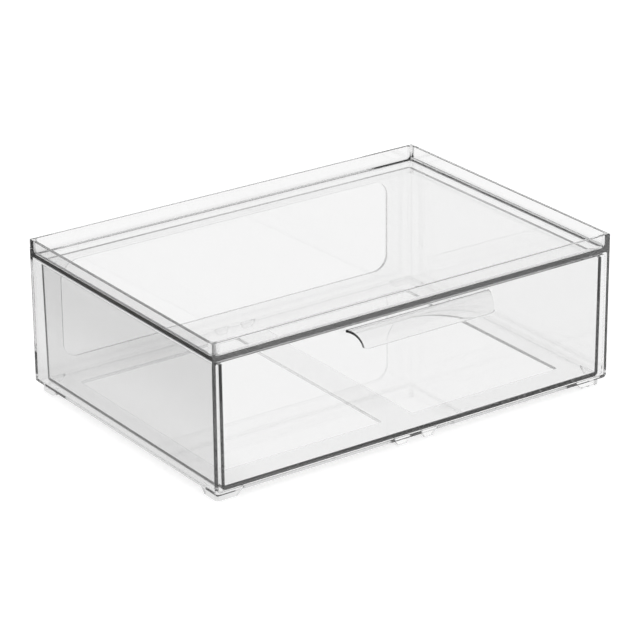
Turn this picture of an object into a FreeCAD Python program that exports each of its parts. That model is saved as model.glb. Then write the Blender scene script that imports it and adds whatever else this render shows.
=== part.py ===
import FreeCAD, Part
import math
import os
import Sketcher

# Stackable drawer box in clear moulded plastic, in millimetres.
# It has two mouldings: an open-fronted casing, and a drafted drawer that slides out of it along -Y.
# The origin lies on the ground under the middle of the whole box, with +Z up and the front at -Y.

doc = FreeCAD.newDocument("StackableDrawerBox")
sheet = doc.addObject("Spreadsheet::Sheet", "Sizes")

# Driving sizes
# Each one is written here once, and every sketch and feature below is bound to it.
SIZES = (
    # Casing shell
    ("width", 406.0),
    ("depth", 282.6),
    ("casing_height", 133.3),
    ("wall", 2.9),
    ("plate", 2.9),
    ("base_radius", 3.5),
    ("edge_radius", 0.5),
    ("opening_radius", 2.0),
    ("opening_edge", 0.4),
    # Stacking rim on the top
    ("rim_height", 13.2),
    ("rim_wall", 3.0),
    ("rim_foot_radius", 4.0),
    ("rim_edge", 0.8),
    ("recess_radius", 5.0),
    # Windows in the back wall and the floor
    ("window_side_margin", 31.5),
    ("window_end_margin", 16.5),
    ("window_radius", 14.0),
    ("window_edge", 0.8),
    ("floor_side_margin", 30.0),
    ("floor_end_margin", 31.5),
    ("floor_bar", 31.0),
    ("floor_radius", 2.0),
    # Feet, which drop inside the rim of the box below
    ("foot_height", 6.5),
    ("foot_wall", 4.5),
    ("foot_clearance", 1.0),
    ("centre_foot_start", 6.4),
    ("centre_foot_length", 15.6),
    ("centre_foot_inner_slope", 3.1),
    ("centre_foot_outer_slope", 4.5),
    ("corner_foot_length", 26.0),
    ("corner_foot_slope", 6.0),
    ("side_foot_length", 24.0),
    # Running room of the drawer in the casing
    ("front_recess", 1.0),
    ("panel_gap", 0.8),
    ("back_gap", 4.2),
    ("top_gap", 1.9),
    ("seat_gap", 0.3),
    # Front panel of the drawer, which reaches past the tray at both sides and at the top
    ("panel_wall", 2.8),
    ("panel_overlap", 3.6),
    ("panel_rise", 2.3),
    ("panel_radius", 2.5),
    ("panel_edge", 0.5),
    # Drawer tray, whose side and back walls lean in towards its base by the draft angles, in degrees
    ("tray_wall", 3.1),
    ("tray_floor", 3.2),
    ("side_draft_angle", 0.3),
    ("back_draft_angle", 0.95),
    ("tray_corner_radius", 3.6),
    ("tray_base_radius", 3.0),
    ("tray_inner_radius", 0.8),
    ("tray_floor_radius", 0.8),
    ("tray_edge", 0.5),
    # Pull lip that curls forward and down from the drawer's front panel, just below its top
    ("lip_width", 147.0),
    ("lip_taper", 7.0),
    ("lip_corner_inset", 7.0),
    ("lip_corner_radius", 9.0),
    ("lip_reach", 16.6),
    ("lip_run", 1.6),
    ("lip_drop", 14.0),
    ("lip_front_radius", 12.0),
    ("lip_wall", 2.5),
    ("lip_edge", 0.7),
    # Length by which every cut runs past the face that it opens
    ("overrun", 2.0),
)
for row, (alias, number) in enumerate(SIZES, start=1):
    sheet.set(f"A{row}", alias)
    sheet.set(f"B{row}", str(number))
    sheet.setAlias(f"B{row}", alias)
doc.recompute()

# Two places closer than this share of the wall count as one place when edges are picked.
MATCH_SHARE = 0.01

# Derived sizes, as expressions of the sheet
HALF_WIDTH = "Sizes.width / 2"
HALF_DEPTH = "Sizes.depth / 2"
PLATE_TOP = "(Sizes.casing_height - Sizes.rim_height)"
PLATE_UNDER = f"({PLATE_TOP} - Sizes.plate)"
INNER_HALF = "(Sizes.width / 2 - Sizes.wall)"
FOOT_INSET = "(Sizes.rim_wall + Sizes.foot_clearance)"
PANEL_HEIGHT = f"({PLATE_UNDER} - Sizes.wall - Sizes.seat_gap - Sizes.top_gap)"
PANEL_HALF = f"({INNER_HALF} - Sizes.panel_gap)"
PANEL_FRONT = "(Sizes.front_recess - Sizes.depth / 2)"
PANEL_BACK = f"({PANEL_FRONT} + Sizes.panel_wall)"
PANEL_MIDDLE = f"({PANEL_FRONT} + Sizes.panel_wall / 2)"
TRAY_HEIGHT = f"({PANEL_HEIGHT} - Sizes.panel_rise)"
TRAY_HALF = f"({PANEL_HALF} - Sizes.panel_overlap)"
TRAY_BACK = "(Sizes.depth / 2 - Sizes.wall - Sizes.back_gap)"
OVERHANG = "(Sizes.lip_reach - Sizes.front_recess)"


def value(expression):
    """Return the number that an expression of the sheet has now."""
    return float(sheet.evalExpression(expression))


def near(one, other):
    """Tell whether two places are the same one."""
    return abs(one - other) < MATCH_SHARE * value("Sizes.wall")


def new_body(label):
    """Start a body with a label of its own."""
    body = doc.addObject("PartDesign::Body", label)
    body.Label = label
    return body


def new_sketch(body, name, role, offset):
    """Start a sketch on one of the body's own origin planes, moved along the plane's normal."""
    sketch = body.newObject("Sketcher::SketchObject", name)
    plane = next(item for item in body.Origin.OriginFeatures if item.Role == role)
    sketch.AttachmentSupport = (plane, [""])
    sketch.MapMode = "FlatFace"
    sketch.setExpression("AttachmentOffset.Base.z", offset)
    return sketch


def bind(sketch, kind, geometry, expression):
    """Add a driving constraint and bind it to an expression of the sheet."""
    index = sketch.addConstraint(Sketcher.Constraint(kind, *geometry, value(expression)))
    name = f"{kind}{index}"
    sketch.renameConstraint(index, name)
    sketch.setExpression(f"Constraints.{name}", expression)


def point(place):
    """Turn a pair of numbers into a point of a sketch's plane."""
    return FreeCAD.Vector(place[0], place[1], 0)


def outline(sketch, corners):
    """Draw one closed outline through corners and constrain it fully.

    A corner is a pair of expressions and the expression of its radius, or None where it is sharp.
    Corners run counter-clockwise. Neighbours that share an expression get an upright or level line.
    """
    count = len(corners)
    places = [(value(across), value(up)) for across, up, _ in corners]
    radii = [value(radius) if radius else 0 for _, _, radius in corners]
    starts = []
    ends = []
    for n in range(count):
        here = point(places[n])
        back = (point(places[n - 1]) - here).normalize()
        ahead = (point(places[(n + 1) % count]) - here).normalize()
        reach = radii[n] / math.tan(back.getAngle(ahead) / 2)
        ends.append(here + back * reach)
        starts.append(here + ahead * reach)
    lines = [
        sketch.addGeometry(Part.LineSegment(starts[n], ends[(n + 1) % count])) for n in range(count)
    ]
    marks = {}
    first_radius = {}
    for n in range(count):
        before = lines[n - 1]
        after = lines[n]
        if not radii[n]:
            sketch.addConstraint(Sketcher.Constraint("Coincident", before, 2, after, 1))
            continue
        back = ends[n] - point(places[n])
        ahead = starts[n] - point(places[n])
        middle = (back + ahead).normalize()
        distance = math.hypot(radii[n], back.Length)
        centre = point(places[n]) + middle * distance
        circle = Part.Circle(centre, FreeCAD.Vector(0, 0, 1), radii[n])
        first, last = (ends[n], starts[n]) if ahead.cross(back).z > 0 else (starts[n], ends[n])
        arc = sketch.addGeometry(
            Part.ArcOfCircle(circle, circle.parameter(first), circle.parameter(last))
        )
        entry, leave = (1, 2) if first == ends[n] else (2, 1)
        sketch.addConstraint(Sketcher.Constraint("Tangent", before, 2, arc, entry))
        sketch.addConstraint(Sketcher.Constraint("Tangent", arc, leave, after, 1))
        radius = corners[n][2]
        if radius in first_radius:
            sketch.addConstraint(Sketcher.Constraint("Equal", first_radius[radius], arc))
        else:
            first_radius[radius] = arc
            bind(sketch, "Radius", (arc,), radius)
        slanted = any(
            corners[k][0] != corners[(k + 1) % count][0]
            and corners[k][1] != corners[(k + 1) % count][1]
            for k in ((n - 1) % count, n)
        )
        if slanted:
            mark = sketch.addGeometry(Part.Point(point(places[n])), True)
            sketch.addConstraint(Sketcher.Constraint("PointOnObject", mark, 1, before))
            sketch.addConstraint(Sketcher.Constraint("PointOnObject", mark, 1, after))
            marks[n] = mark
    for side, kind, fixed in ((0, "DistanceX", "Vertical"), (1, "DistanceY", "Horizontal")):
        straight = [corners[n][side] == corners[(n + 1) % count][side] for n in range(count)]
        for n in range(count):
            if straight[n]:
                sketch.addConstraint(Sketcher.Constraint(fixed, lines[n]))
                bind(sketch, kind, (-1, 1, lines[n], 1), corners[n][side])
            elif not straight[n - 1]:
                anchor = marks.get(n, lines[n])
                bind(sketch, kind, (-1, 1, anchor, 1), corners[n][side])


def rounded_box(sketch, left, right, low, high, radius):
    """Draw a rectangle whose four corners share one radius."""
    outline(
        sketch,
        ((left, low, radius), (right, low, radius), (right, high, radius), (left, high, radius)),
    )


def extrude(body, kind, name, sketch, length, reverse=False, middle=False):
    """Pad or pocket a sketch, and make sure that the volume changed the right way."""
    before = body.Shape.Volume if body.Tip and not body.Tip.Shape.isNull() else 0
    feature = body.newObject(f"PartDesign::{kind}", name)
    feature.Profile = sketch
    feature.setExpression("Length", length)
    feature.Reversed = reverse
    if middle:
        feature.SideType = "Symmetric"
    doc.recompute()
    change = body.Shape.Volume - before
    if change * (1 if kind == "Pad" else -1) <= 0:
        raise RuntimeError(f"{name} changed the volume by {change}")
    return feature


def round_edges(body, name, radius, chosen):
    """Round those edges of the body's last feature that a test on their bounds accepts."""
    base = body.Tip
    names = [
        f"Edge{n}" for n, edge in enumerate(base.Shape.Edges, start=1) if chosen(edge.BoundBox)
    ]
    if not names:
        raise RuntimeError(f"{name} found no edge")
    fillet = body.newObject("PartDesign::Fillet", name)
    fillet.Base = (base, names)
    fillet.setExpression("Radius", radius)
    doc.recompute()
    if not fillet.isValid():
        raise RuntimeError(f"{name} failed on {len(names)} edges")


# Casing
# Its body is drawn with the underside of the shell at zero and the middle of the shell in plan at
# zero, and is then lifted onto its feet.
casing = new_body("casing")

# The shell starts as a solid block whose long lower edges are rounded.
block = new_sketch(casing, "block_outline", "XZ_Plane", f"-({HALF_DEPTH})")
outline(
    block,
    (
        (f"-{HALF_WIDTH}", "0", "Sizes.base_radius"),
        (HALF_WIDTH, "0", "Sizes.base_radius"),
        (HALF_WIDTH, "Sizes.casing_height", None),
        (f"-{HALF_WIDTH}", "Sizes.casing_height", None),
    ),
)
extrude(casing, "Pad", "block", block, "Sizes.depth")

half_depth = value(HALF_DEPTH)
half_width = value(HALF_WIDTH)
casing_height = value("Sizes.casing_height")


def on_end_outline(box):
    """Tell whether an edge lies round the front or the back face, the top edges apart."""
    flat = near(box.YMin, box.YMax) and near(abs(box.YMin), half_depth)
    return flat and box.ZMin < casing_height and not near(box.ZMin, casing_height)


round_edges(casing, "end_rounding", "Sizes.edge_radius", on_end_outline)

# The stacking rim stands round a shallow recess in the top.
recess = new_sketch(casing, "recess_outline", "XY_Plane", PLATE_TOP)
rounded_box(
    recess,
    f"-({HALF_WIDTH} - Sizes.rim_wall)",
    f"({HALF_WIDTH} - Sizes.rim_wall)",
    f"-({HALF_DEPTH} - Sizes.rim_wall)",
    f"({HALF_DEPTH} - Sizes.rim_wall)",
    "Sizes.recess_radius",
)
extrude(casing, "Pocket", "recess", recess, "Sizes.rim_height + Sizes.overrun", reverse=True)

plate_top = value(PLATE_TOP)


def on_recess_floor(box):
    """Tell whether an edge lies where the recess meets the top plate."""
    return near(box.ZMin, plate_top) and near(box.ZMax, plate_top)


round_edges(casing, "rim_foot", "Sizes.rim_foot_radius", on_recess_floor)


def on_rim_top(box):
    """Tell whether an edge lies on the flat top of the rim."""
    return near(box.ZMin, casing_height) and near(box.ZMax, casing_height)


round_edges(casing, "rim_rounding", "Sizes.rim_edge", on_rim_top)

# The inside opens to the front and stops at the back wall.
inside = new_sketch(casing, "inside_outline", "XZ_Plane", f"{HALF_DEPTH} + Sizes.overrun")
rounded_box(inside, f"-{INNER_HALF}", INNER_HALF, "Sizes.wall", PLATE_UNDER, "Sizes.opening_radius")
extrude(casing, "Pocket", "inside", inside, "Sizes.depth + Sizes.overrun - Sizes.wall")

inner_half = value(INNER_HALF)
wall = value("Sizes.wall")
plate_under = value(PLATE_UNDER)


def on_opening(box):
    """Tell whether an edge lies round the front opening."""
    flat = near(box.YMin, -half_depth) and near(box.YMax, -half_depth)
    across = abs(box.XMin) < inner_half + wall / 2 and abs(box.XMax) < inner_half + wall / 2
    return flat and across and box.ZMin > wall / 2 and box.ZMax < plate_top


round_edges(casing, "opening_rounding", "Sizes.opening_edge", on_opening)

# A wide window with round corners goes through the back wall.
WINDOW_HALF = f"({HALF_WIDTH} - Sizes.window_side_margin)"
back_window = new_sketch(
    casing, "back_window_outline", "XZ_Plane", f"Sizes.wall + Sizes.overrun - {HALF_DEPTH}"
)
rounded_box(
    back_window,
    f"-{WINDOW_HALF}",
    WINDOW_HALF,
    "Sizes.window_end_margin",
    f"{PLATE_TOP} - Sizes.window_end_margin",
    "Sizes.window_radius",
)
extrude(casing, "Pocket", "back_window", back_window, "Sizes.wall + 2 * Sizes.overrun")

window_half = value(WINDOW_HALF)
window_low = value("Sizes.window_end_margin")


def on_back_window(box):
    """Tell whether an edge lies round the back window, on the inner or the outer face."""
    flat = near(box.YMin, box.YMax) and box.YMin > half_depth - wall * 3 / 2
    across = abs(box.XMin) < window_half + wall / 2
    return flat and across and box.ZMin > window_low - wall and box.ZMax < plate_top - wall


round_edges(casing, "back_window_rounding", "Sizes.window_edge", on_back_window)

# Two windows beside a middle bar go through the floor.
floor_windows = new_sketch(casing, "floor_window_outline", "XY_Plane", "-Sizes.overrun")
for near_side, far_side in (
    ("Sizes.floor_bar / 2", f"{HALF_WIDTH} - Sizes.floor_side_margin"),
    (f"-({HALF_WIDTH} - Sizes.floor_side_margin)", "-Sizes.floor_bar / 2"),
):
    rounded_box(
        floor_windows,
        near_side,
        far_side,
        f"-({HALF_DEPTH} - Sizes.floor_end_margin)",
        f"({HALF_DEPTH} - Sizes.floor_end_margin)",
        "Sizes.floor_radius",
    )
extrude(
    casing, "Pocket", "floor_windows", floor_windows, "Sizes.wall + 2 * Sizes.overrun", reverse=True
)

# Feet are short tapered lugs. A pair stands at the middle of the front edge, and an angled one at
# the corner, with a leg along the front and a leg along the side.
FOOT_FACE = f"({HALF_DEPTH} - {FOOT_INSET})"
SIDE_FACE = f"({HALF_WIDTH} - {FOOT_INSET})"
front_feet = new_sketch(casing, "front_feet_outline", "XZ_Plane", FOOT_FACE)
CENTRE_END = "Sizes.centre_foot_start + Sizes.centre_foot_length"
outline(
    front_feet,
    (
        ("Sizes.centre_foot_start + Sizes.centre_foot_inner_slope", "-Sizes.foot_height", None),
        (f"{CENTRE_END} - Sizes.centre_foot_outer_slope", "-Sizes.foot_height", None),
        (CENTRE_END, "0", None),
        ("Sizes.centre_foot_start", "0", None),
    ),
)
outline(
    front_feet,
    (
        (
            f"{SIDE_FACE} - Sizes.corner_foot_length + Sizes.corner_foot_slope",
            "-Sizes.foot_height",
            None,
        ),
        (SIDE_FACE, "-Sizes.foot_height", None),
        (SIDE_FACE, "0", None),
        (f"{SIDE_FACE} - Sizes.corner_foot_length", "0", None),
    ),
)
front_pad = extrude(casing, "Pad", "front_feet", front_feet, "Sizes.foot_wall", reverse=True)
side_feet = new_sketch(casing, "side_feet_outline", "YZ_Plane", SIDE_FACE)
outline(
    side_feet,
    (
        (f"-{FOOT_FACE}", "-Sizes.foot_height", None),
        (
            f"Sizes.side_foot_length - Sizes.corner_foot_slope - {FOOT_FACE}",
            "-Sizes.foot_height",
            None,
        ),
        (f"Sizes.side_foot_length - {FOOT_FACE}", "0", None),
        (f"-{FOOT_FACE}", "0", None),
    ),
)
side_pad = extrude(casing, "Pad", "side_feet", side_feet, "Sizes.foot_wall", reverse=True)

# The same feet stand at the other three quarters of the underside.
quarters = casing.newObject("PartDesign::MultiTransform", "feet_in_quarters")
quarters.Originals = [front_pad, side_pad]
mirrors = []
for name, role in (("left_right", "YZ_Plane"), ("front_back", "XZ_Plane")):
    mirror = casing.newObject("PartDesign::Mirrored", name)
    mirror.MirrorPlane = (
        next(item for item in casing.Origin.OriginFeatures if item.Role == role),
        [""],
    )
    mirrors.append(mirror)
quarters.Transformations = mirrors
casing.Tip = quarters
doc.recompute()

foot_bottom = -value("Sizes.foot_height")
side_face = value(SIDE_FACE)
foot_face = value(FOOT_FACE)


def on_foot_corner(box):
    """Tell whether an edge is the upright outer corner of an angled foot."""
    upright = near(box.ZMin, foot_bottom) and near(box.ZMax, 0)
    at_corner = near(abs(box.XMin), side_face) and near(abs(box.YMin), foot_face)
    return upright and at_corner and near(box.XMin, box.XMax) and near(box.YMin, box.YMax)


round_edges(
    casing, "foot_corners", "Sizes.recess_radius - Sizes.foot_clearance", on_foot_corner
)


# Drawer
# Its body is drawn with the underside of the tray at zero, in the same plan position as the shell.
drawer = new_body("drawer")

# The tray starts as a block behind the middle of the front panel, drawn at its top edge's height.
tray = new_sketch(drawer, "tray_outline", "XY_Plane", TRAY_HEIGHT)
outline(
    tray,
    (
        (f"-{TRAY_HALF}", PANEL_MIDDLE, None),
        (TRAY_HALF, PANEL_MIDDLE, None),
        (TRAY_HALF, TRAY_BACK, None),
        (f"-{TRAY_HALF}", TRAY_BACK, None),
    ),
)
extrude(drawer, "Pad", "tray", tray, TRAY_HEIGHT, reverse=True)
tray_height = value(TRAY_HEIGHT)
tray_back = value(TRAY_BACK)


def face_names(shape, chosen):
    """List the names of the faces that a test on their bounds accepts."""
    return [f"Face{n}" for n, face in enumerate(shape.Faces, start=1) if chosen(face.BoundBox)]


def on_top(box):
    """Tell whether a face lies level with the tray's top."""
    return near(box.ZMin, tray_height)


def lean(name, angle, chosen, outside):
    """Lean walls in towards the tray's base, about its top: outside ones, or those of the hollow."""
    before = drawer.Shape.Volume
    base = drawer.Tip
    draft = drawer.newObject("PartDesign::Draft", name)
    draft.Base = (base, face_names(base.Shape, chosen))
    draft.NeutralPlane = (base, face_names(base.Shape, on_top))
    draft.Reversed = outside
    draft.setExpression("Angle", angle)
    doc.recompute()
    if (drawer.Shape.Volume < before) != outside:
        raise RuntimeError(f"{name} leans the wrong way")


lean("side_draft", "Sizes.side_draft_angle", lambda box: near(box.XMin, box.XMax), True)
lean("back_draft", "Sizes.back_draft_angle", lambda box: near(box.YMin, tray_back), True)


def on_upright(box):
    """Tell whether an edge runs up a back corner of the tray."""
    return near(box.ZMin, 0) and near(box.ZMax, tray_height) and box.YMin > 0


def on_tray_base(box):
    """Tell whether an edge lies round the tray's flat underside, the front edge apart."""
    return near(box.ZMin, 0) and near(box.ZMax, 0) and box.YMax > 0


round_edges(drawer, "tray_corners", "Sizes.tray_corner_radius", on_upright)
round_edges(drawer, "tray_base_rounding", "Sizes.tray_base_radius", on_tray_base)

# The hollow follows the outside, so that the walls keep an even thickness.
hollow = new_sketch(drawer, "hollow_outline", "XY_Plane", TRAY_HEIGHT)
outline(
    hollow,
    (
        (f"-({TRAY_HALF} - Sizes.tray_wall)", PANEL_BACK, None),
        (f"({TRAY_HALF} - Sizes.tray_wall)", PANEL_BACK, None),
        (f"({TRAY_HALF} - Sizes.tray_wall)", f"{TRAY_BACK} - Sizes.tray_wall", None),
        (f"-({TRAY_HALF} - Sizes.tray_wall)", f"{TRAY_BACK} - Sizes.tray_wall", None),
    ),
)
extrude(drawer, "Pocket", "hollow", hollow, f"{TRAY_HEIGHT} - Sizes.tray_floor")
tray_floor = value("Sizes.tray_floor")
hollow_half = value(f"{TRAY_HALF} - Sizes.tray_wall")
hollow_back = value(f"{TRAY_BACK} - Sizes.tray_wall")


def is_hollow_side(box):
    """Tell whether a face is a side wall of the hollow."""
    return near(box.XMin, box.XMax) and near(abs(box.XMin), hollow_half)


def is_hollow_back(box):
    """Tell whether a face is the back wall of the hollow."""
    return near(box.YMin, hollow_back) and near(box.YMax, hollow_back)


lean("hollow_side_draft", "Sizes.side_draft_angle", is_hollow_side, False)
lean("hollow_back_draft", "Sizes.back_draft_angle", is_hollow_back, False)


def on_hollow_upright(box):
    """Tell whether an edge runs up a corner of the hollow."""
    return near(box.ZMin, tray_floor) and near(box.ZMax, tray_height)


def on_tray_floor(box):
    """Tell whether an edge lies where the tray's walls meet its floor."""
    return near(box.ZMin, tray_floor) and near(box.ZMax, tray_floor)


round_edges(drawer, "hollow_corners", "Sizes.tray_inner_radius", on_hollow_upright)
round_edges(drawer, "tray_floor_rounding", "Sizes.tray_floor_radius", on_tray_floor)

tray_front = value(PANEL_MIDDLE)


def on_tray_top(box):
    """Tell whether an edge lies round the tray's flat top, the buried front edge apart."""
    level = near(box.ZMin, tray_height) and near(box.ZMax, tray_height)
    return level and not near(box.YMax, tray_front)


round_edges(drawer, "tray_top_rounding", "Sizes.tray_edge", on_tray_top)

# The front panel is an upright plate that closes the tray. It is wider and taller than the tray.
panel = new_sketch(drawer, "panel_outline", "XZ_Plane", f"-{PANEL_BACK}")
rounded_box(panel, f"-{PANEL_HALF}", PANEL_HALF, "0", PANEL_HEIGHT, "Sizes.panel_radius")
extrude(drawer, "Pad", "panel", panel, "Sizes.panel_wall")
face = value(PANEL_FRONT)


def on_panel_face(box):
    """Tell whether an edge lies round the panel's front face."""
    return near(box.YMin, face) and near(box.YMax, face)


round_edges(drawer, "panel_rounding", "Sizes.panel_edge", on_panel_face)

# The lip is a curl of even thickness that leaves the panel at the height of the tray's top. Two
# arcs in line make its section: a wide one at the root and a tighter one at the front.
curl = new_sketch(drawer, "lip_section", "YZ_Plane", "0")
run, drop, reach, front_radius, thickness = (
    value(f"Sizes.lip_{name}") for name in ("run", "drop", "reach", "front_radius", "wall")
)
curl_reach = reach - run
# Root radius at which the two arcs meet in line
root_radius = ((curl_reach - front_radius) ** 2 + drop**2 - front_radius**2) / (
    2 * (drop - front_radius)
)
root_centre = point((face - run, tray_height - root_radius))
front_centre = point((face - reach + front_radius, tray_height - drop))
turn = math.atan2(front_centre.y - root_centre.y, front_centre.x - root_centre.x)
root_start = value(PANEL_MIDDLE)


def arc_between(centre, radius, start, end):
    """Return an arc of a circle in the sketch's plane, counter-clockwise between two angles."""
    return Part.ArcOfCircle(Part.Circle(centre, FreeCAD.Vector(0, 0, 1), radius), start, end)


top_run = curl.addGeometry(
    Part.LineSegment(point((root_start, tray_height)), point((face - run, tray_height)))
)
outer_root = curl.addGeometry(arc_between(root_centre, root_radius, math.pi / 2, turn))
outer_front = curl.addGeometry(arc_between(front_centre, front_radius, turn, math.pi))
rim_line = curl.addGeometry(
    Part.LineSegment(
        point((face - reach, tray_height - drop)),
        point((face - reach + thickness, tray_height - drop)),
    )
)
inner_front = curl.addGeometry(arc_between(front_centre, front_radius - thickness, turn, math.pi))
inner_root = curl.addGeometry(
    arc_between(root_centre, root_radius - thickness, math.pi / 2, turn)
)
low_run = curl.addGeometry(
    Part.LineSegment(
        point((face - run, tray_height - thickness)), point((root_start, tray_height - thickness))
    )
)
buried = curl.addGeometry(
    Part.LineSegment(
        point((root_start, tray_height - thickness)), point((root_start, tray_height))
    )
)
for kind, *geometry in (
    ("Tangent", top_run, 2, outer_root, 1),
    ("Tangent", outer_root, 2, outer_front, 1),
    ("Coincident", outer_front, 2, rim_line, 1),
    ("Coincident", rim_line, 2, inner_front, 2),
    ("Tangent", inner_front, 1, inner_root, 2),
    ("Tangent", inner_root, 1, low_run, 1),
    ("Coincident", low_run, 2, buried, 1),
    ("Coincident", buried, 2, top_run, 1),
    ("Coincident", outer_root, 3, inner_root, 3),
    ("Coincident", outer_front, 3, inner_front, 3),
    ("Horizontal", top_run),
    ("Horizontal", rim_line),
    ("Horizontal", low_run),
    ("Vertical", buried),
    ("Horizontal", outer_front, 3, outer_front, 2),
):
    curl.addConstraint(Sketcher.Constraint(kind, *geometry))
bind(curl, "DistanceY", (-1, 1, top_run, 2), TRAY_HEIGHT)
bind(curl, "DistanceX", (-1, 1, top_run, 2), f"{PANEL_FRONT} - Sizes.lip_run")
bind(curl, "DistanceX", (-1, 1, buried, 1), PANEL_MIDDLE)
bind(curl, "DistanceX", (-1, 1, rim_line, 1), f"{PANEL_FRONT} - Sizes.lip_reach")
bind(curl, "DistanceY", (-1, 1, rim_line, 1), f"{TRAY_HEIGHT} - Sizes.lip_drop")
bind(curl, "Radius", (outer_front,), "Sizes.lip_front_radius")
bind(curl, "DistanceX", (rim_line, 1, rim_line, 2), "Sizes.lip_wall")
extrude(drawer, "Pad", "lip", curl, "Sizes.lip_width", middle=True)

# Seen from above, the lip tapers forwards. Seen from the front, its lower corners are round.
LIP_LOW = f"({TRAY_HEIGHT} - Sizes.lip_drop)"
LIP_HALF = "(Sizes.lip_width / 2)"
LIP_TIP = f"({PANEL_FRONT} - Sizes.lip_reach)"
LIP_CORNER = f"({LIP_HALF} - Sizes.lip_corner_inset)"


def both_ends(sketch, corners):
    """Draw an outline at the right end of the lip, and its mirror image at the left end."""
    outline(sketch, corners)
    outline(sketch, [(f"-({across})", up, radius) for across, up, radius in reversed(corners)])


taper = new_sketch(drawer, "lip_taper_outline", "XY_Plane", f"{TRAY_HEIGHT} + Sizes.overrun")
both_ends(
    taper,
    (
        (f"{LIP_HALF} - Sizes.lip_taper", LIP_TIP, None),
        (f"{LIP_HALF} - Sizes.lip_taper", f"{LIP_TIP} - Sizes.overrun", None),
        (f"{LIP_HALF} + Sizes.overrun", f"{LIP_TIP} - Sizes.overrun", None),
        (f"{LIP_HALF} + Sizes.overrun", PANEL_FRONT, None),
        (LIP_HALF, PANEL_FRONT, None),
    ),
)
extrude(drawer, "Pocket", "lip_taper", taper, "Sizes.lip_drop + 2 * Sizes.overrun")
corner = new_sketch(drawer, "lip_corner_outline", "XZ_Plane", f"-{PANEL_FRONT}")
both_ends(
    corner,
    (
        (LIP_HALF, f"{TRAY_HEIGHT} - Sizes.lip_wall", None),
        (LIP_CORNER, LIP_LOW, "Sizes.lip_corner_radius"),
        (f"{LIP_CORNER} - Sizes.lip_corner_radius", LIP_LOW, None),
        (f"{LIP_CORNER} - Sizes.lip_corner_radius", f"{LIP_LOW} - Sizes.overrun", None),
        (f"{LIP_HALF} + Sizes.overrun", f"{LIP_LOW} - Sizes.overrun", None),
        (f"{LIP_HALF} + Sizes.overrun", f"{TRAY_HEIGHT} - Sizes.lip_wall", None),
    ),
)
extrude(drawer, "Pocket", "lip_corner", corner, "Sizes.lip_reach + Sizes.overrun", reverse=True)

lip_low = tray_height - drop


def on_lip_rim(box):
    """Tell whether an edge lies on the free rim of the lip, its two long seams apart."""
    in_front = box.YMax < face - run / 2
    seam = near(box.ZMin, box.ZMax) and box.ZMin > lip_low + thickness / 2
    return in_front and not seam


round_edges(drawer, "lip_rim_rounding", "Sizes.lip_edge", on_lip_rim)

# Placement of the two bodies in the part's own frame
casing.setExpression("Placement.Base.y", f"{OVERHANG} / 2")
casing.setExpression("Placement.Base.z", "Sizes.foot_height")
drawer.setExpression("Placement.Base.y", f"{OVERHANG} / 2")
drawer.setExpression("Placement.Base.z", "Sizes.foot_height + Sizes.wall + Sizes.seat_gap")
doc.recompute()

# Every object must be sound before anything is written.
for item in doc.Objects:
    if "Invalid" in item.State or "Error" in item.State:
        raise RuntimeError(f"{item.Name} is in state {item.State}")
    if item.TypeId == "Sketcher::SketchObject" and not item.FullyConstrained:
        raise RuntimeError(f"{item.Name} is not fully constrained")
os.makedirs("parts", exist_ok=True)
for body in (casing, drawer):
    shape = body.Shape
    if shape.isNull() or not shape.isValid() or len(shape.Solids) != 1:
        raise RuntimeError(f"{body.Label} is not one sound solid")
for body in (casing, drawer):
    body.Shape.exportStep(f"parts/{body.Label}.step")
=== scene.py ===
"""Looks of a stackable drawer box in clear moulded plastic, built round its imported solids."""

import logging
import math
from dataclasses import dataclass
from enum import Enum
from typing import Any

import bmesh
import bpy
from mathutils import Matrix, Vector

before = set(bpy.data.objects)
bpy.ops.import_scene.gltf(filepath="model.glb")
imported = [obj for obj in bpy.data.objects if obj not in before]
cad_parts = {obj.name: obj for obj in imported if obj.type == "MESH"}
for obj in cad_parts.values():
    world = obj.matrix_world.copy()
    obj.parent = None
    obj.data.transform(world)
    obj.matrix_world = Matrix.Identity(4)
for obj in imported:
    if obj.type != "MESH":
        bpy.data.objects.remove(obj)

LOG = logging.getLogger("drawer_box")
MM = 0.001
IMAGE_SIDE = 640
SENSOR_MM = 36.0
WHITE = "#FFFFFF"
LIGHT_BOUNCES = 64

# The curve of sRGB, which has a straight toe and a power above it.
BYTE_MAX = 255
TOE_END = 0.04045
TOE_SLOPE = 12.92
CURVE_OFFSET = 0.055
CURVE_SCALE = 1.055
CURVE_POWER = 2.4

# Sockets of one name are told apart by number, on Mix Shader and on Add Shader.
MIX_FACTOR, MIX_REST, MIX_CHOSEN = 0, 1, 2
ADD_FIRST, ADD_SECOND = 0, 1


class Moulding(Enum):
    """The two injection mouldings of the box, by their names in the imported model."""

    CASING = "casing"
    DRAWER = "drawer"


class Seen(Enum):
    """How the floor or the surroundings are seen, by Light Path's output names."""

    STRAIGHT = "Is Camera Ray"
    REFLECTED = "Is Glossy Ray"


def linear(colour: str) -> tuple[float, float, float, float]:
    """Turn an sRGB hex colour into linear values.

    Args:
        colour: Six hex digits after a hash sign.

    Returns:
        Red, green, blue and an alpha of one.
    """
    parts = [byte / BYTE_MAX for byte in bytes.fromhex(colour.removeprefix("#"))]
    red, green, blue = (
        p / TOE_SLOPE if p <= TOE_END else ((p + CURVE_OFFSET) / CURVE_SCALE) ** CURVE_POWER
        for p in parts
    )
    return (red, green, blue, 1.0)


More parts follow.
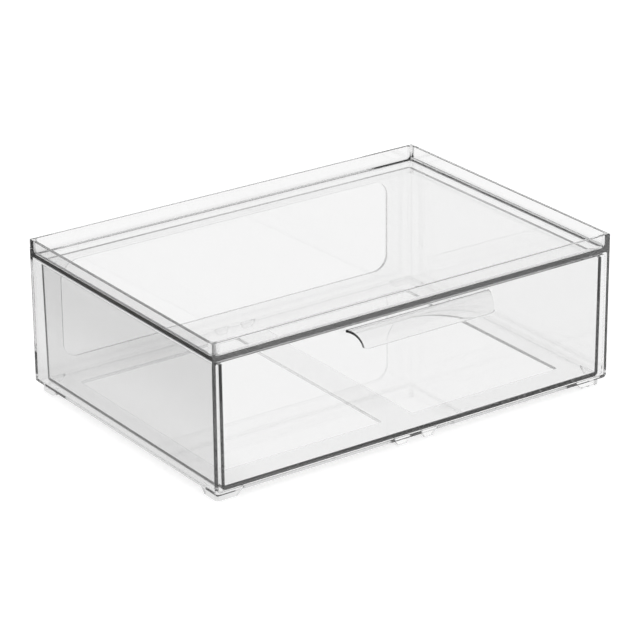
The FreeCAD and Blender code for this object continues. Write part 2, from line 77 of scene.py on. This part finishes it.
def add_node(
    tree: bpy.types.NodeTree,
    kind: str,
    settings: dict[str, Any] | None = None,
    links: dict[str | int, bpy.types.NodeSocket] | None = None,
) -> bpy.types.Node:
    """Add a node with its settings and incoming links.

    Args:
        tree: Node tree that gets the node.
        kind: Blender's name of the node type.
        settings: Values by input socket.
        links: Source sockets by input socket.

    Returns:
        The new node.
    """
    node = tree.nodes.new(kind)
    for socket, setting in (settings or {}).items():
        node.inputs[socket].default_value = setting
    for socket, source in (links or {}).items():
        tree.links.new(source, node.inputs[socket])
    return node


def new_material(name: str) -> bpy.types.Material:
    """Make a node material that is still empty.

    Args:
        name: What the material is called.

    Returns:
        The material, without a node.
    """
    material = bpy.data.materials.new(name)
    material.use_nodes = True
    material.node_tree.nodes.clear()
    return material


@dataclass(frozen=True)
class ClearPolystyrene:
    """Clear polystyrene, injection moulded in a polished steel mould.

    The eye gets a colourless plastic with a bright gloss. A face that is looked through is pale,
    and the cut end of a long wall is dark, because light travels its whole length inside it.
    """

    name: str
    tint: str = "#FCFCFC"
    depth_tint: str = "#808080"
    depth_density: float = 9.3
    ior: float = 1.58
    roughness: float = 0.0
    melt_wave_mm: float = 38.0
    melt_wave_height_mm: float = 0.004
    polish_mm: float = 3.5
    polish_height_mm: float = 0.0001
    wave_detail: float = 1.0
    wave_roughness: float = 0.4

    def make(self) -> bpy.types.Material:
        """Build the material.

        Returns:
            The finished material.
        """
        material = new_material(self.name)
        tree = material.node_tree
        place = add_node(tree, "ShaderNodeTexCoord").outputs["Object"]
        # Long low waves of the cooled melt bend the view through a wall very slightly. The marks
        # of the mould's polish are much finer on the real box. They are drawn this coarse so that
        # they show, as a faint unevenness in the gloss.
        normal = None
        for size_mm, height_mm in (
            (self.melt_wave_mm, self.melt_wave_height_mm),
            (self.polish_mm, self.polish_height_mm),
        ):
            waves = add_node(
                tree,
                "ShaderNodeTexNoise",
                {
                    "Scale": 1 / (size_mm * MM),
                    "Detail": self.wave_detail,
                    "Roughness": self.wave_roughness,
                },
                {"Vector": place},
            )
            links: dict[str | int, bpy.types.NodeSocket] = {"Height": waves.outputs["Fac"]}
            if normal:
                links["Normal"] = normal
            bump = add_node(
                tree, "ShaderNodeBump", {"Strength": 1.0, "Distance": height_mm * MM}, links
            )
            normal = bump.outputs["Normal"]
        surface = add_node(
            tree,
            "ShaderNodeBsdfPrincipled",
            {
                "Base Color": linear(self.tint),
                "Roughness": self.roughness,
                "IOR": self.ior,
                "Transmission Weight": 1.0,
            },
            {"Normal": normal},
        )
        # The grey depth is too weak to show across a wall and strong along one.
        inside = add_node(
            tree,
            "ShaderNodeVolumeAbsorption",
            {"Color": linear(self.depth_tint), "Density": self.depth_density},
        )
        add_node(
            tree,
            "ShaderNodeOutputMaterial",
            links={"Surface": surface.outputs["BSDF"], "Volume": inside.outputs["Volume"]},
        )
        return material


@dataclass(frozen=True)
class WhiteSweep:
    """Matte white card that the box stands on.

    The eye gets plain white with the box's narrow, faint shadow. In the gloss of the box alone
    the card's glow is painted darker to one side, a painted shade that stands in for the unlit
    side of a studio. This painted shade goes from dark to white between two places across the
    box, in metres.
    """

    name: str = "matte_white_card"
    glow: float = 0.97
    colour: str = "#C8C8C8"
    shade_glow: float = 0.70
    shade_colour: str = "#CACACA"
    # Painted shade in the card's glow, seen only in the box's gloss: its level on the dark side,
    # and the two places where it turns from dark to white.
    reflected_shade_level: float = 0.35
    reflected_shade_from: float = -0.32
    reflected_shade_to: float = -0.14

    def make(self) -> bpy.types.Material:
        """Build the material.

        Returns:
            The finished material.
        """
        material = new_material(self.name)
        tree = material.node_tree
        # Through the plastic the card is bright white. Seen straight it glows less, and the light
        # that falls on it makes up for that, so the box's shadow shows there.
        cards = []
        for colour, glow in ((self.colour, self.glow), (self.shade_colour, self.shade_glow)):
            paper = add_node(tree, "ShaderNodeBsdfDiffuse", {"Color": linear(colour)})
            light = add_node(
                tree, "ShaderNodeEmission", {"Color": linear(WHITE), "Strength": glow}
            )
            card = add_node(
                tree,
                "ShaderNodeAddShader",
                links={ADD_FIRST: paper.outputs["BSDF"], ADD_SECOND: light.outputs["Emission"]},
            )
            cards.append(card.outputs["Shader"])
        through, straight = cards
        # Painted shade: in the box's gloss the card's glow is painted darker towards -X, in place
        # of the unlit side of a studio.
        place = add_node(tree, "ShaderNodeTexCoord")
        axes = add_node(tree, "ShaderNodeSeparateXYZ", links={"Vector": place.outputs["Object"]})
        level = add_node(
            tree,
            "ShaderNodeMapRange",
            {
                "From Min": self.reflected_shade_from,
                "From Max": self.reflected_shade_to,
                "To Min": self.reflected_shade_level,
                "To Max": 1.0,
            },
            {"Value": axes.outputs["X"]},
        )
        gloss = add_node(
            tree,
            "ShaderNodeEmission",
            {"Color": linear(WHITE)},
            {"Strength": level.outputs["Result"]},
        )
        path = add_node(tree, "ShaderNodeLightPath")
        seen = through
        for ray, chosen in (
            (Seen.REFLECTED, gloss.outputs["Emission"]),
            (Seen.STRAIGHT, straight),
        ):
            mix = add_node(
                tree,
                "ShaderNodeMixShader",
                links={MIX_FACTOR: path.outputs[ray.value], MIX_REST: seen, MIX_CHOSEN: chosen},
            )
            seen = mix.outputs["Shader"]
        add_node(tree, "ShaderNodeOutputMaterial", links={"Surface": seen})
        return material


@dataclass
class Studio:
    """Pale floor, soft lamp above and surroundings that are brightest near the horizon.

    Lengths are in metres and the lamp's power in watts. The surroundings turn from white to grey
    between two heights on a sphere with a radius of one.
    """

    floor_side: float = 6.0
    lamp_side: float = 1.6
    lamp_height: float = 1.9
    lamp_power: float = 4.0
    white_below: float = 0.45
    grey_above: float = 0.6
    ceiling: float = 0.7
    sweep: WhiteSweep = WhiteSweep()

    def build(self) -> None:
        """Make the floor, the lamp and the surroundings."""
        self.build_floor()
        self.build_lamp()
        self.build_world()

    def build_floor(self) -> None:
        """Make the floor that the box stands on."""
        mesh = bpy.data.meshes.new("studio_floor")
        shape = bmesh.new()
        bmesh.ops.create_grid(shape, x_segments=1, y_segments=1, size=self.floor_side / 2)
        shape.to_mesh(mesh)
        shape.free()
        floor = bpy.data.objects.new("studio_floor", mesh)
        bpy.context.scene.collection.objects.link(floor)
        mesh.materials.append(self.sweep.make())

    def build_lamp(self) -> None:
        """Hang a wide soft lamp above the box."""
        data = bpy.data.lights.new("soft_lamp", "AREA")
        data.shape = "SQUARE"
        data.size = self.lamp_side
        data.energy = self.lamp_power
        lamp = bpy.data.objects.new("soft_lamp", data)
        lamp.location = (0.0, 0.0, self.lamp_height)
        bpy.context.scene.collection.objects.link(lamp)

    def build_world(self) -> None:
        """Make surroundings that are greyer above, and plain white where they are seen straight."""
        world = bpy.data.worlds.new("studio")
        bpy.context.scene.world = world
        world.use_nodes = True
        tree = world.node_tree
        tree.nodes.clear()
        place = add_node(tree, "ShaderNodeTexCoord")
        axes = add_node(
            tree, "ShaderNodeSeparateXYZ", links={"Vector": place.outputs["Generated"]}
        )
        ramp = add_node(tree, "ShaderNodeValToRGB", links={"Fac": axes.outputs["Z"]})
        low, high = ramp.color_ramp.elements
        for stop, position, level in (
            (low, self.white_below, 1.0),
            (high, self.grey_above, self.ceiling),
        ):
            stop.position = position
            stop.color = (level, level, level, 1.0)
        around = add_node(tree, "ShaderNodeBackground", links={"Color": ramp.outputs["Color"]})
        plain = add_node(tree, "ShaderNodeBackground", {"Color": linear(WHITE)})
        path = add_node(tree, "ShaderNodeLightPath")
        mix = add_node(
            tree,
            "ShaderNodeMixShader",
            links={
                MIX_FACTOR: path.outputs[Seen.STRAIGHT.value],
                MIX_REST: around.outputs["Background"],
                MIX_CHOSEN: plain.outputs["Background"],
            },
        )
        add_node(tree, "ShaderNodeOutputWorld", links={"Surface": mix.outputs["Shader"]})


@dataclass
class Camera:
    """Long lens at the photograph's viewing angle, in metres, degrees and pixels."""

    place: tuple[float, float, float] = (-1.42822, -2.03077, 1.10780)
    azimuth: float = -34.9137
    elevation: float = 22.6271
    roll: float = -0.4859
    focal_px: float = 3137.95
    centre_px: tuple[float, float] = (315.27, 311.50)
    far_end: float = 50.0

    def build(self) -> None:
        """Make the camera and choose it for the scene."""
        turn, tilt, roll = (math.radians(v) for v in (self.azimuth, self.elevation, self.roll))
        back = Vector(
            (
                math.sin(turn) * math.cos(tilt),
                -math.cos(turn) * math.cos(tilt),
                math.sin(tilt),
            )
        )
        level_right = (-back).cross(Vector((0, 0, 1))).normalized()
        level_up = level_right.cross(-back)
        right = level_right * math.cos(roll) + level_up * math.sin(roll)
        up = level_up * math.cos(roll) - level_right * math.sin(roll)
        data = bpy.data.cameras.new("camera")
        data.sensor_width = SENSOR_MM
        data.lens = self.focal_px * SENSOR_MM / IMAGE_SIDE
        data.shift_x = (IMAGE_SIDE / 2 - self.centre_px[0]) / IMAGE_SIDE
        data.shift_y = (self.centre_px[1] - IMAGE_SIDE / 2) / IMAGE_SIDE
        data.clip_end = self.far_end
        stand = Matrix((right, up, back)).transposed().to_4x4()
        stand.translation = self.place
        camera = bpy.data.objects.new("camera", data)
        camera.matrix_world = stand
        bpy.context.scene.collection.objects.link(camera)
        bpy.context.scene.camera = camera


@dataclass
class Piece:
    """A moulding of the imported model, which keeps its shape and gets its finish."""

    moulding: Moulding
    finish: ClearPolystyrene

    def dress(self) -> bpy.types.Object:
        """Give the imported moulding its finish.

        Returns:
            The dressed piece.
        """
        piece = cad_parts[self.moulding.value]
        material = self.finish.make()
        for slot in piece.material_slots:
            slot.material = material
        return piece


@dataclass
class Casing(Piece):
    """Open-fronted casing with its stacking rim, windows and feet, in one moulding."""

    moulding: Moulding = Moulding.CASING
    finish: ClearPolystyrene = ClearPolystyrene("casing_moulded_clear_polystyrene")


@dataclass
class Drawer(Piece):
    """Drawer with its front panel and pull lip, in one moulding."""

    moulding: Moulding = Moulding.DRAWER
    finish: ClearPolystyrene = ClearPolystyrene(
        "drawer_moulded_clear_polystyrene", melt_wave_mm=45.0
    )


def main() -> None:
    """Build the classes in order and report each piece."""
    logging.basicConfig(level=logging.INFO, format="%(message)s")
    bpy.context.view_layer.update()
    scene = bpy.context.scene
    scene.view_settings.view_transform = "Standard"
    # Light runs many times to and fro inside a clear wall before it leaves at the wall's end.
    for kind in ("max_bounces", "transmission_bounces", "glossy_bounces"):
        setattr(scene.cycles, kind, LIGHT_BOUNCES)
    Camera().build()
    Studio().build()
    for part in (Casing(), Drawer()):
        piece = part.dress()
        LOG.info("%s dressed in %s", piece.name, part.finish.name)
    bpy.context.view_layer.update()


if __name__ == "__main__":
    main()
